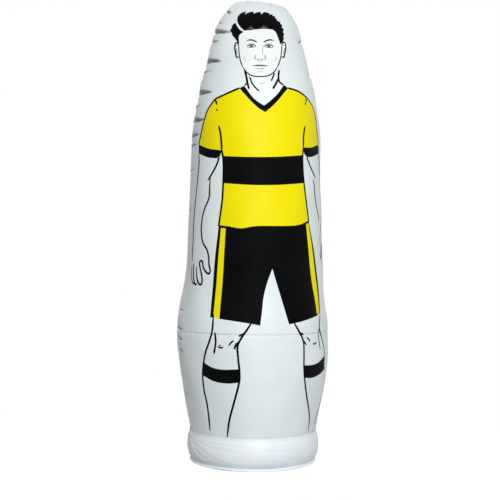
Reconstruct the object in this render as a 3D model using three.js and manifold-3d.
// Inflatable free kick mannequin: an air-filled body of two welded sheets over a round ballast base.
// Millimetres, +Z up, origin on the ground at the middle of the base, the printed front towards -Y.
import * as THREE from "three";
import { mergeVertices } from "three/addons/utils/BufferGeometryUtils.js";
import Module from "manifold-3d";

const wasm = await Module();
wasm.setup();

// Overall sizes
const height = 1750;
const widestHalf = 289;
const baseHalf = 241;
const depthShare = 0.97;

// Sheets and welds
const sheet = 0.6;
const gap = 0.3;
const overrun = 4;
const seamFlange = 9;
const hipSeamHeight = 490;
const tapeWidth = 30;
const dividerHeight = 104;

// Ballast base
const sleeveTop = 118;
const sleeveLap = 12;
const sleeveBulge = 10;
const lipInset = 3;
const lipHalf = baseHalf - lipInset;
const lipWidth = 7;
const floorSheet = 0.8;

// Facets: whole counts, and how close two corners lie to be one
const panelColumns = 14;
const turnSegments = 20;
const threadSegments = 16;
const mergeReach = 1e-5;

// The outline of the inflated body: how wide it is, as a share of the widest half, at a share of the height
const footShare = baseHalf / widestHalf;
const profileShares = [
  [0, footShare], [sleeveTop / height, footShare], [0.13, 0.901], [0.2006, 0.976], [0.2533, 1],
  [0.306, 0.99], [0.3589, 0.941], [0.4291, 0.899], [0.516, 0.882], [0.622, 0.862], [0.71, 0.855],
  [0.763, 0.826], [0.815, 0.763], [0.885, 0.654], [0.938, 0.584], [0.9737, 0.463],
  [0.9885, 0.385], [0.9935, 0.343], [0.9968, 0.28], [0.999, 0.17], [1, 0],
];
// The round of the top fold: half its depth is this radius' parabola, and this power blends it into the body
const foldRadius = 52;
const foldBlend = 12;
// How far below the top the sections grow from a lens to a round
const lensReachShare = 0.3;
const lensPower = 0.35;

// Puckers along the side weld: height share, and depth as a share of the deepest
const puckerDepth = 7;
const puckerReach = 62;
const puckerHalfHeight = 13;
const puckerShares = [
  [0.979, 0.6], [0.934, 1], [0.8715, 1], [0.8046, 1], [0.743, 0.9], [0.282, 0.7], [0.2357, 0.6],
];

// Air valve, at the back above the base
const airValveHeight = 200;
const airFlangeHalf = 27;
const airBore = 11;
const airNeckWall = 2;
const airNeckLength = 9.4;
const airInsertBore = 7.5;
const airInsertDrop = 6;
const airUpperNeckLength = 5.4;
const spokeWidth = 1.8;
const spokeThick = 1.5;
const flapThick = 0.8;
const flapInset = 1.2;

// Ballast filling port, at the back of the base
const fillPortHeight = 60;
const fillFlangeHalf = 29;
const fillBore = 12;
const fillNeckWall = 2.5;
const fillNeckLength = 11;

// Screw fittings: what both have alike
const flangeThick = 1.6;
const threadPitch = 3.2;
const threadHeight = 0.9;
const threadRoot = 1.4;
const threadTip = 0.7;
const threadTurns = 1.4;
const threadBite = 0.3;
const threadClearance = 0.4;
const capWall = 2;
const capTop = 1.6;
const skirtGap = 2.6;
const gasketThick = 0.7;
const gripRibs = 10;
const gripRibHalf = 0.8;
const studNeck = 2.2;
const studHeadHalf = 4;
const studHeadThick = 1;
const strapThick = 1.2;
const strapHalf = 3.6;
const strapEyeHalf = 6.2;
const strapBend = 3;
const bendShare = 0.3;

// Colours and finishes
const whitePvc = { color: 0xe4e9ea, roughness: 0.35, metalness: 0 };
const sleevePvc = { color: 0xf2f6fa, roughness: 0.32, metalness: 0 };
const clearPvc = { color: 0xdfe3e4, roughness: 0.4, metalness: 0 };
const valvePlastic = { color: 0xdadddd, roughness: 0.45, metalness: 0 };
const capPlastic = { color: 0x16171a, roughness: 0.5, metalness: 0 };
const softRubber = { color: 0x2a2a2c, roughness: 0.7, metalness: 0 };
const waterTint = { color: 0xb9cdd4, roughness: 0.1, metalness: 0 };

const mannequin = new THREE.Group();

function addPiece(name, geometry, finish, carrier = mannequin) {
  const mesh = new THREE.Mesh(geometry, new THREE.MeshStandardMaterial(finish));
  mesh.name = name;
  carrier.add(mesh);
}

// Closed meshes to solids and back, for the cuts and joins
function solidOf(geometry) {
  const bare = geometry.clone();
  bare.deleteAttribute("normal");
  bare.deleteAttribute("uv");
  const merged = mergeVertices(bare, mergeReach);
  const corners = merged.index.array;
  const kept = [];
  for (let k = 0; k < corners.length; k += 3) {
    const [a, b, c] = corners.slice(k, k + 3);
    if (a !== b && b !== c && c !== a) kept.push(a, b, c);
  }
  const closed = (triangles) => new wasm.Manifold(new wasm.Mesh({
    numProp: 3,
    vertProperties: new Float32Array(merged.attributes.position.array),
    triVerts: new Uint32Array(triangles),
  }));
  const solid = closed(kept);
  return solid.volume() < 0 ? closed(kept.reverse()) : solid;
}

function geometryOf(solid) {
  const mesh = solid.getMesh();
  const geometry = new THREE.BufferGeometry();
  geometry.setAttribute("position", new THREE.BufferAttribute(new Float32Array(mesh.vertProperties), 3));
  geometry.setIndex(new THREE.BufferAttribute(new Uint32Array(mesh.triVerts), 1));
  return geometry;
}

function boxSolid(low, high) {
  const box = new THREE.BoxGeometry(high[0] - low[0], high[1] - low[1], high[2] - low[2]);
  box.translate((low[0] + high[0]) / 2, (low[1] + high[1]) / 2, (low[2] + high[2]) / 2);
  return solidOf(box);
}

// A shape of revolution about +Z from points [radius, height], listed once round the section
function turned(points, segments = turnSegments) {
  const profile = points.map(([radius, z]) => new THREE.Vector2(radius, z));
  const onAxis = points[0][0] === 0 && points.at(-1)[0] === 0;
  if (!onAxis) profile.push(profile[0].clone());
  const geometry = new THREE.LatheGeometry(profile, segments);
  geometry.rotateX(Math.PI / 2);
  return geometry;
}

function ring(inner, outer, low, high, segments = turnSegments) {
  return solidOf(turned([[inner, low], [outer, low], [outer, high], [inner, high]], segments));
}

function disc(radius, low, high, segments = turnSegments) {
  return solidOf(turned([[0, low], [radius, low], [radius, high], [0, high]], segments));
}

// The outline's half width at a height, drawn as a smooth curve through the profile's points
const outlinePlaces = profileShares.map(([up, wide]) => new THREE.Vector3(wide * widestHalf, 0, up * height));
const outline = new THREE.CatmullRomCurve3(outlinePlaces, false, "centripetal");

function halfWidthAt(z) {
  const last = profileShares.length - 1;
  const share = THREE.MathUtils.clamp(z / height, 0, 1);
  let k = 0;
  while (k < last - 1 && profileShares[k + 1][0] < share) k += 1;
  let low = k / last;
  let high = (k + 1) / last;
  for (let step = 0; step < 30; step += 1) {
    const middle = (low + high) / 2;
    if (outline.getPoint(middle).z < z) low = middle;
    else high = middle;
  }
  return Math.max(outline.getPoint((low + high) / 2).x, 0);
}

// Half the depth: a parabola at the top fold that runs into a nearly round section, quite round at the base
function halfDepthAt(z, halfWidth) {
  const below = Math.max(height - z, 0);
  const fold = Math.sqrt(2 * foldRadius * below);
  const towardsBase = THREE.MathUtils.smoothstep(z, sleeveTop, hipSeamHeight);
  const round = halfWidth * THREE.MathUtils.lerp(1, depthShare, towardsBase);
  return fold / (1 + (fold / Math.max(round, gap)) ** foldBlend) ** (1 / foldBlend);
}

// How deep the side weld's puckers pull the sheet in at a height, at a distance from the weld
function puckerAt(z, fromWeld) {
  let pull = 0;
  for (const [up, share] of puckerShares) {
    if (fromWeld > puckerReach) continue;
    const fade = 1 - fromWeld / puckerReach;
    const half = puckerHalfHeight * (1 + fade) / 2;
    pull += puckerDepth * share * fade * fade * Math.exp(-(((z - up * height) / half) ** 2));
  }
  return pull;
}

// A point on the body, inset from the outside, at a height and a share round it: the front is 0, the right 1
function bodyPoint(z, around, inset) {
  const angle = around * Math.PI / 2;
  const wide = halfWidthAt(z);
  const deep = halfDepthAt(z, wide);
  const lens = 1 + lensPower * (1 - THREE.MathUtils.smoothstep(height - z, 0, lensReachShare * height));
  const x = wide * Math.sin(angle);
  const y = -deep * Math.sign(Math.cos(angle)) * Math.abs(Math.cos(angle)) ** lens;
  const fromWeld = Math.abs(1 - Math.abs(around)) * wide * Math.PI / 2;
  const inwards = inset + puckerAt(z, fromWeld);
  const across = new THREE.Vector2(x / Math.max(wide, gap) ** 2, y / Math.max(deep, gap) ** 2).normalize();
  return new THREE.Vector3(x - across.x * inwards, y - across.y * inwards, z);
}

// The heights of the mesh's rows: the puckers' valleys and crests, the seams, and steps between
function rowHeights(top) {
  const steps = profileShares.map(([up]) => up * height).filter((z) => z > dividerHeight);
  const offsets = [-puckerHalfHeight, 0, puckerHalfHeight];
  const valleys = puckerShares.flatMap(([up]) => offsets.map((offset) => up * height + offset));
  const clearOfValleys = steps.filter((z) => valleys.every((v) => Math.abs(v - z) > puckerHalfHeight * 0.7));
  return [...clearOfValleys, ...valleys].filter((z) => z < top - gap).sort((a, b) => a - b);
}

// The closed solid inside the body's skin at an inset
function bodySolid(inset) {
  const top = height - inset;
  const rows = [0, ...rowHeights(top)];
  const columns = panelColumns * 2;
  const squeeze = (z) => z * (top / height);
  const positions = [];
  for (const z of rows) {
    for (let k = 0; k < columns; k += 1) {
      const around = k / columns * 4;
      const point = bodyPoint(z, around > 2 ? around - 4 : around, inset);
      positions.push(point.x, point.y, squeeze(point.z));
    }
  }
  const poles = [positions.length / 3, positions.length / 3 + 1];
  positions.push(0, 0, 0, 0, 0, top);
  const faces = [];
  for (let r = 0; r < rows.length - 1; r += 1) {
    for (let k = 0; k < columns; k += 1) {
      const a = r * columns + k;
      const b = r * columns + (k + 1) % columns;
      faces.push(a, b, b + columns, a, b + columns, a + columns);
    }
  }
  const last = (rows.length - 1) * columns;
  for (let k = 0; k < columns; k += 1) {
    faces.push(poles[0], (k + 1) % columns, k);
    faces.push(poles[1], last + k, last + (k + 1) % columns);
  }
  const geometry = new THREE.BufferGeometry();
  geometry.setAttribute("position", new THREE.BufferAttribute(new Float32Array(positions), 3));
  geometry.setIndex(faces);
  return solidOf(geometry);
}

const farOut = widestHalf + overrun;
const skinOutside = bodySolid(0);
const skinInside = bodySolid(sheet);

// Body sheets: front and rear, above and below the hip seam, each with the weld flange that turns inwards
const flangeSheets = boxSolid([-farOut, -gap / 2 - sheet, 0], [farOut, gap / 2 + sheet, height]);
const weldFlange = flangeSheets.intersect(bodySolid(sheet / 2).subtract(bodySolid(seamFlange)));
const skin = skinOutside.subtract(skinInside).add(weldFlange);
const roundSegments = panelColumns * 2;
const panelInside = baseHalf - sheet;
const dividerRoom = disc(panelInside - gap / 2, 0, sleeveTop + gap, roundSegments);
const panelFoot = sleeveTop - sleeveLap;
const spans = {
  lower: [panelFoot, hipSeamHeight - gap / 2],
  upper: [hipSeamHeight + gap / 2, height + overrun],
};
const halves = { front: [-farOut, -gap / 2], rear: [gap / 2, farOut] };

// Where a fitting's axis leaves the back wall, and how far the wall leans there
function wallFrame(z) {
  const depthAt = (h) => halfDepthAt(h, halfWidthAt(h));
  const lean = Math.atan2(depthAt(z + seamFlange) - depthAt(z - seamFlange), 2 * seamFlange);
  return { y: depthAt(z), z, lean };
}

function placedOnWall(solid, frame) {
  return solid.rotate([-90 - THREE.MathUtils.radToDeg(frame.lean), 0, 0]).translate([0, frame.y, frame.z]);
}

const airPlace = wallFrame(airValveHeight);
const airHole = placedOnWall(disc(airBore, -farOut / 2, farOut / 2), airPlace);
for (const [level, [low, high]] of Object.entries(spans)) {
  for (const [side, [near, far]] of Object.entries(halves)) {
    let panel = skin.intersect(boxSolid([-farOut, near, low], [farOut, far, high]));
    if (level === "lower") panel = panel.subtract(dividerRoom);
    if (level === "lower" && side === "rear") panel = panel.subtract(airHole);
    addPiece(`${level}_${side}_panel`, geometryOf(panel), whitePvc);
  }
}

// Hip seam tape: a strip inside the seam on each side, clear of the side weld's flanges
const tapeShell = bodySolid(sheet + gap).subtract(bodySolid(2 * sheet + gap));
const flangeClear = gap / 2 + sheet + gap;
const tapeBand = [hipSeamHeight - tapeWidth / 2, hipSeamHeight + tapeWidth / 2];
const tapeHalves = { front: [-farOut, -flangeClear], rear: [flangeClear, farOut] };
for (const [side, [near, far]] of Object.entries(tapeHalves)) {
  const tape = tapeShell.intersect(boxSolid([-farOut, near, tapeBand[0]], [farOut, far, tapeBand[1]]));
  addPiece(`hip_tape_${side}`, geometryOf(tape), clearPvc);
}

// Chamber divider: the sheet between air and ballast, its rim turned up and welded inside the body's foot
const rimOutside = panelInside - gap;
const divider = solidOf(turned([
  [0, dividerHeight], [rimOutside, dividerHeight], [rimOutside, sleeveTop], [rimOutside - sheet, sleeveTop],
  [rimOutside - sheet, dividerHeight + sheet], [0, dividerHeight + sheet],
], roundSegments));
addPiece("chamber_divider", geometryOf(divider), clearPvc);

// Ballast sleeve: its section from the lap over the body's foot, round the bulge, to the weld lip
const sleeveInside = baseHalf + gap;
const sleeveOutside = sleeveInside + sheet;
const lipTop = floorSheet + gap + sheet;
const lipRoot = lipHalf - lipWidth;
const bulgeShares = [
  [0.83, 0.46], [0.7, 0.82], [0.56, 1], [0.43, 0.96], [0.3, 0.68], [0.19, 0.2],
];
const footShares = [[0.11, 0.3], [0.055, 0.07], [0.028, 0]];
const sleevePath = [
  [sleeveOutside, sleeveTop], [sleeveOutside, panelFoot],
  ...bulgeShares.map(([up, out]) => [sleeveOutside + out * sleeveBulge, up * sleeveTop]),
  ...footShares.map(([up, out]) => [lipRoot + out * (sleeveOutside - lipRoot), up * sleeveTop]),
];
const lipPath = [[lipRoot + lipWidth / 6, lipTop], [lipHalf, lipTop]];

// The points of a path moved to its right-hand side, square to it
function besidePath(path, distance) {
  return path.map(([r, z], k) => {
    const before = path[Math.max(k - 1, 0)];
    const after = path[Math.min(k + 1, path.length - 1)];
    const along = new THREE.Vector2(after[0] - before[0], after[1] - before[1]).normalize();
    return [r + along.y * distance, z - along.x * distance];
  });
}

function sheetSection(path, thick) {
  return [...path, ...besidePath(path, thick).reverse()];
}

// All that lies within a distance of the sleeve's outer face, on its inner side
function sleeveSolid(distance) {
  const wall = besidePath(sleevePath, distance);
  return solidOf(turned([[0, wall[0][1]], ...wall, [0, wall.at(-1)[1]]], roundSegments));
}

const fillPlace = { y: Math.max(...sleevePath.map(([r]) => r)), z: fillPortHeight, lean: 0 };
const fillHole = placedOnWall(disc(fillBore, -farOut / 2, farOut / 2), fillPlace);
const sleeve = solidOf(turned(sheetSection([...sleevePath, ...lipPath], sheet), roundSegments));
const sleeveFront = sleeve.intersect(boxSolid([-farOut, -farOut, 0], [farOut, -gap / 2, height]));
const sleeveRear = sleeve.intersect(boxSolid([-farOut, gap / 2, 0], [farOut, farOut, height]));
addPiece("base_sleeve_front", geometryOf(sleeveFront), sleevePvc);
addPiece("base_sleeve_rear", geometryOf(sleeveRear.subtract(fillHole)), sleevePvc);

// Floor sheet: its rim is the lower layer of the weld lip
addPiece("base_floor", geometryOf(disc(lipHalf, 0, floorSheet, roundSegments)), clearPvc);

// Ballast: the water that fills the base
const waterRoom = boxSolid([-farOut, -farOut, floorSheet + gap], [farOut, farOut, dividerHeight - gap]);
addPiece("ballast_water", geometryOf(sleeveSolid(sheet + gap).intersect(waterRoom)), waterTint);

// One thread ridge: a helix that stands on a wall, outwards (1) or inwards (-1), over a part of its turns
function threadRidge(wallRadius, towards, base, fromTurn, toTurn) {
  const count = Math.max(Math.round((toTurn - fromTurn) * threadSegments), 3);
  const positions = [];
  for (let k = 0; k <= count; k += 1) {
    const turns = fromTurn + k / threadSegments;
    const turn = turns * Math.PI * 2;
    const z = base + turns * threadPitch;
    const runOut = Math.min(1, (k + 1) / 3, (count - k + 1) / 3);
    const root = wallRadius - towards * threadBite;
    const tip = wallRadius + towards * threadHeight * runOut;
    const section = [
      [root, z - threadRoot / 2], [tip, z - threadTip / 2],
      [tip, z + threadTip / 2], [root, z + threadRoot / 2],
    ];
    for (const [r, h] of section) positions.push(r * Math.cos(turn), r * Math.sin(turn), h);
  }
  const faces = [0, 1, 2, 0, 2, 3];
  for (let k = 0; k < count; k += 1) {
    for (let c = 0; c < 4; c += 1) {
      const a = k * 4 + c;
      const b = k * 4 + (c + 1) % 4;
      faces.push(a, a + 4, b + 4, a, b + 4, b);
    }
  }
  const end = count * 4;
  faces.push(end, end + 2, end + 1, end, end + 3, end + 2);
  const geometry = new THREE.BufferGeometry();
  geometry.setAttribute("position", new THREE.BufferAttribute(new Float32Array(positions), 3));
  geometry.setIndex(faces);
  return solidOf(geometry);
}

// Where the thread of a neck with its mouth at this height starts
function threadStart(mouth) {
  return mouth - threadRoot - threadTurns * threadPitch;
}

// A threaded neck from low to its mouth
function neckTube(bore, wall, low, mouth) {
  const ridge = threadRidge(bore + wall, 1, threadStart(mouth), 0, threadTurns);
  return ring(bore, bore + wall, low, mouth).add(ridge);
}

// Sizes of the cap that screws on a neck of this outer radius whose mouth is at this height
function capSizes(neckOutside, mouth) {
  const inside = neckOutside + threadHeight + threadClearance;
  const under = mouth + gap + gasketThick + gap;
  return { neckOutside, mouth, inside, outside: inside + capWall, under, top: under + capTop };
}

// The cap's body: skirt, top and the thread ridge inside, half a pitch from the neck's
function capBody(sizes, skirtLow) {
  const base = threadStart(sizes.mouth) + threadPitch / 2;
  const fromTurn = Math.max(0, (skirtLow + threadRoot - base) / threadPitch);
  const toTurn = Math.min(fromTurn + 1, (sizes.under - threadRoot - base) / threadPitch);
  return ring(sizes.inside, sizes.outside, skirtLow, sizes.top)
    .add(disc(sizes.outside, sizes.under, sizes.top))
    .add(threadRidge(sizes.inside, -1, base, fromTurn, toTurn));
}

function gripRibsOn(sizes, skirtLow, count) {
  let ribs = null;
  for (let k = 0; k < count; k += 1) {
    const rib = boxSolid([sizes.outside - gripRibHalf, -gripRibHalf, skirtLow + gripRibHalf],
      [sizes.outside + gripRibHalf, gripRibHalf, sizes.top - gripRibHalf]).rotate([0, 0, k / count * 360]);
    ribs = ribs ? ribs.add(rib) : rib;
  }
  return ribs;
}

// The stud on a cap's top that the strap's eye turns on
function capStud(top) {
  const headLow = top + gap + strapThick + gap;
  return disc(studNeck, top - gap, headLow + gap).add(disc(studHeadHalf, headLow, headLow + studHeadThick));
}

function gasketFor(sizes, bore) {
  return geometryOf(ring(bore, sizes.neckOutside, sizes.mouth + gap, sizes.mouth + gap + gasketThick));
}

// A strap: an eye on the stud, and a tongue that bends down beside the cap to a foot that points out or in
function strapSolid(sizes, foot, footTo) {
  const eyeTop = sizes.top + gap + strapThick;
  const side = sizes.outside + gripRibHalf + strapBend / 2 + strapThick;
  const turn = Math.sign(footTo - side) * strapBend;
  const path = [
    [0, eyeTop], [side - strapBend, eyeTop],
    [side - strapBend * bendShare, eyeTop - strapBend * bendShare], [side, eyeTop - strapBend],
    [side, foot + strapBend], [side + turn * bendShare, foot + strapBend * bendShare],
    [side + turn, foot], [footTo, foot],
  ];
  const sideView = new THREE.Shape(sheetSection(path, strapThick).map(([x, w]) => new THREE.Vector2(x, w)));
  const tongue = new THREE.ExtrudeGeometry(sideView, { depth: strapHalf * 2, bevelEnabled: false });
  tongue.translate(0, 0, -strapHalf);
  tongue.rotateX(Math.PI / 2);
  return solidOf(tongue)
    .add(disc(strapEyeHalf, eyeTop - strapThick, eyeTop))
    .subtract(disc(studNeck + gap, eyeTop - strapThick - overrun, eyeTop + overrun));
}

// Fill port: a flange that follows the sleeve's bulge, welded on, with its neck, gasket, cap and strap
const fillNeckOutside = fillBore + fillNeckWall;
const fillSleeveClear = sleeveSolid(-gap);
const fillFlangeSkin = sleeveSolid(-gap - flangeThick).subtract(fillSleeveClear);
const fillFlangeRound = placedOnWall(disc(fillFlangeHalf, -fillFlangeHalf, fillFlangeHalf), fillPlace);
const fillTube = neckTube(fillBore, fillNeckWall, -fillFlangeHalf / 2, fillNeckLength);
const fillNeck = fillFlangeSkin.intersect(fillFlangeRound)
  .add(placedOnWall(fillTube, fillPlace).subtract(fillSleeveClear))
  .subtract(fillHole);
addPiece("fill_port_neck", geometryOf(fillNeck), valvePlastic);

function groupOnWall(frame) {
  const group = new THREE.Group();
  group.position.set(0, frame.y, frame.z);
  group.rotation.x = -Math.PI / 2 - frame.lean;
  mannequin.add(group);
  return group;
}

const fillGroup = groupOnWall(fillPlace);
const fillCap = capSizes(fillNeckOutside, fillNeckLength);
const fillSkirtLow = gap + flangeThick + skirtGap;
addPiece("fill_cap_gasket", gasketFor(fillCap, fillBore), softRubber, fillGroup);
addPiece("fill_port_cap", geometryOf(capBody(fillCap, fillSkirtLow)
  .add(gripRibsOn(fillCap, fillSkirtLow, gripRibs)).add(capStud(fillCap.top))), capPlastic, fillGroup);
const fillStrap = placedOnWall(
  strapSolid(fillCap, gap + flangeThick + gap + strapThick, fillFlangeHalf), fillPlace)
  .subtract(sleeveSolid(-gap - flangeThick - gap));
addPiece("fill_cap_strap", geometryOf(fillStrap), capPlastic);

// Air valve: the flange and neck welded on the back wall, and the one-way insert, flap, cap and strap on it
const airNeckOutside = airBore + airNeckWall;
const airWallClear = bodySolid(-gap);
const airFlangeSkin = bodySolid(-gap - flangeThick).subtract(airWallClear);
const airFlangeRound = placedOnWall(disc(airFlangeHalf, -airFlangeHalf, airFlangeHalf), airPlace);
const airTube = neckTube(airBore, airNeckWall, -airFlangeHalf / 2, airNeckLength);
const airBase = airFlangeSkin.intersect(airFlangeRound)
  .add(placedOnWall(airTube, airPlace).subtract(airWallClear))
  .subtract(airHole);
addPiece("air_valve_base", geometryOf(airBase), valvePlastic);

const airGroup = groupOnWall(airPlace);
const airInsert = capSizes(airNeckOutside, airNeckLength);
const airSkirtLow = gap + flangeThick + skirtGap;
addPiece("air_insert_gasket", gasketFor(airInsert, airBore), softRubber, airGroup);

const dropLow = airInsert.under - airInsertDrop;
const upperMouth = airInsert.top + airUpperNeckLength;
const upperOutside = airInsertBore + airNeckWall;
const upperBore = disc(airInsertBore, dropLow - overrun, upperMouth + overrun);
const spokeReach = airBore - airNeckWall;
const spokes = boxSolid(
  [-spokeReach, -spokeWidth / 2, dropLow], [spokeReach, spokeWidth / 2, dropLow + spokeThick]);
const airInsertBody = capBody(airInsert, airSkirtLow)
  .add(disc(airBore - flapInset / 2, dropLow, airInsert.top))
  .add(neckTube(airInsertBore, airNeckWall, airInsert.top - gap, upperMouth))
  .subtract(upperBore)
  .add(spokes)
  .add(spokes.rotate([0, 0, 90]));
addPiece("air_valve_insert", geometryOf(airInsertBody), valvePlastic, airGroup);

const flapTop = dropLow - gap;
const flap = disc(airBore - flapInset, flapTop - flapThick, flapTop);
addPiece("air_valve_flap", geometryOf(flap), softRubber, airGroup);

const airCap = capSizes(upperOutside, upperMouth);
const airCapLow = airInsert.top + gap + strapThick + gap;
addPiece("air_cap_gasket", gasketFor(airCap, airInsertBore), softRubber, airGroup);
addPiece("air_valve_cap", geometryOf(capBody(airCap, airCapLow)
  .add(gripRibsOn(airCap, airCapLow, gripRibs)).add(capStud(airCap.top))), capPlastic, airGroup);

// The air cap's strap: its foot is a ring round the insert's upper neck
const airStrapLow = airInsert.top + gap;
const airStrapRing = ring(airCap.inside, airCap.outside + strapThick, airStrapLow, airStrapLow + strapThick);
const airStrapRoom = disc(airCap.inside, airStrapLow - gap, airStrapLow + strapThick + gap);
addPiece("air_cap_strap", geometryOf(strapSolid(airCap, airStrapLow, airCap.inside)
  .subtract(airStrapRoom).add(airStrapRing)), capPlastic, airGroup);

export default mannequin;
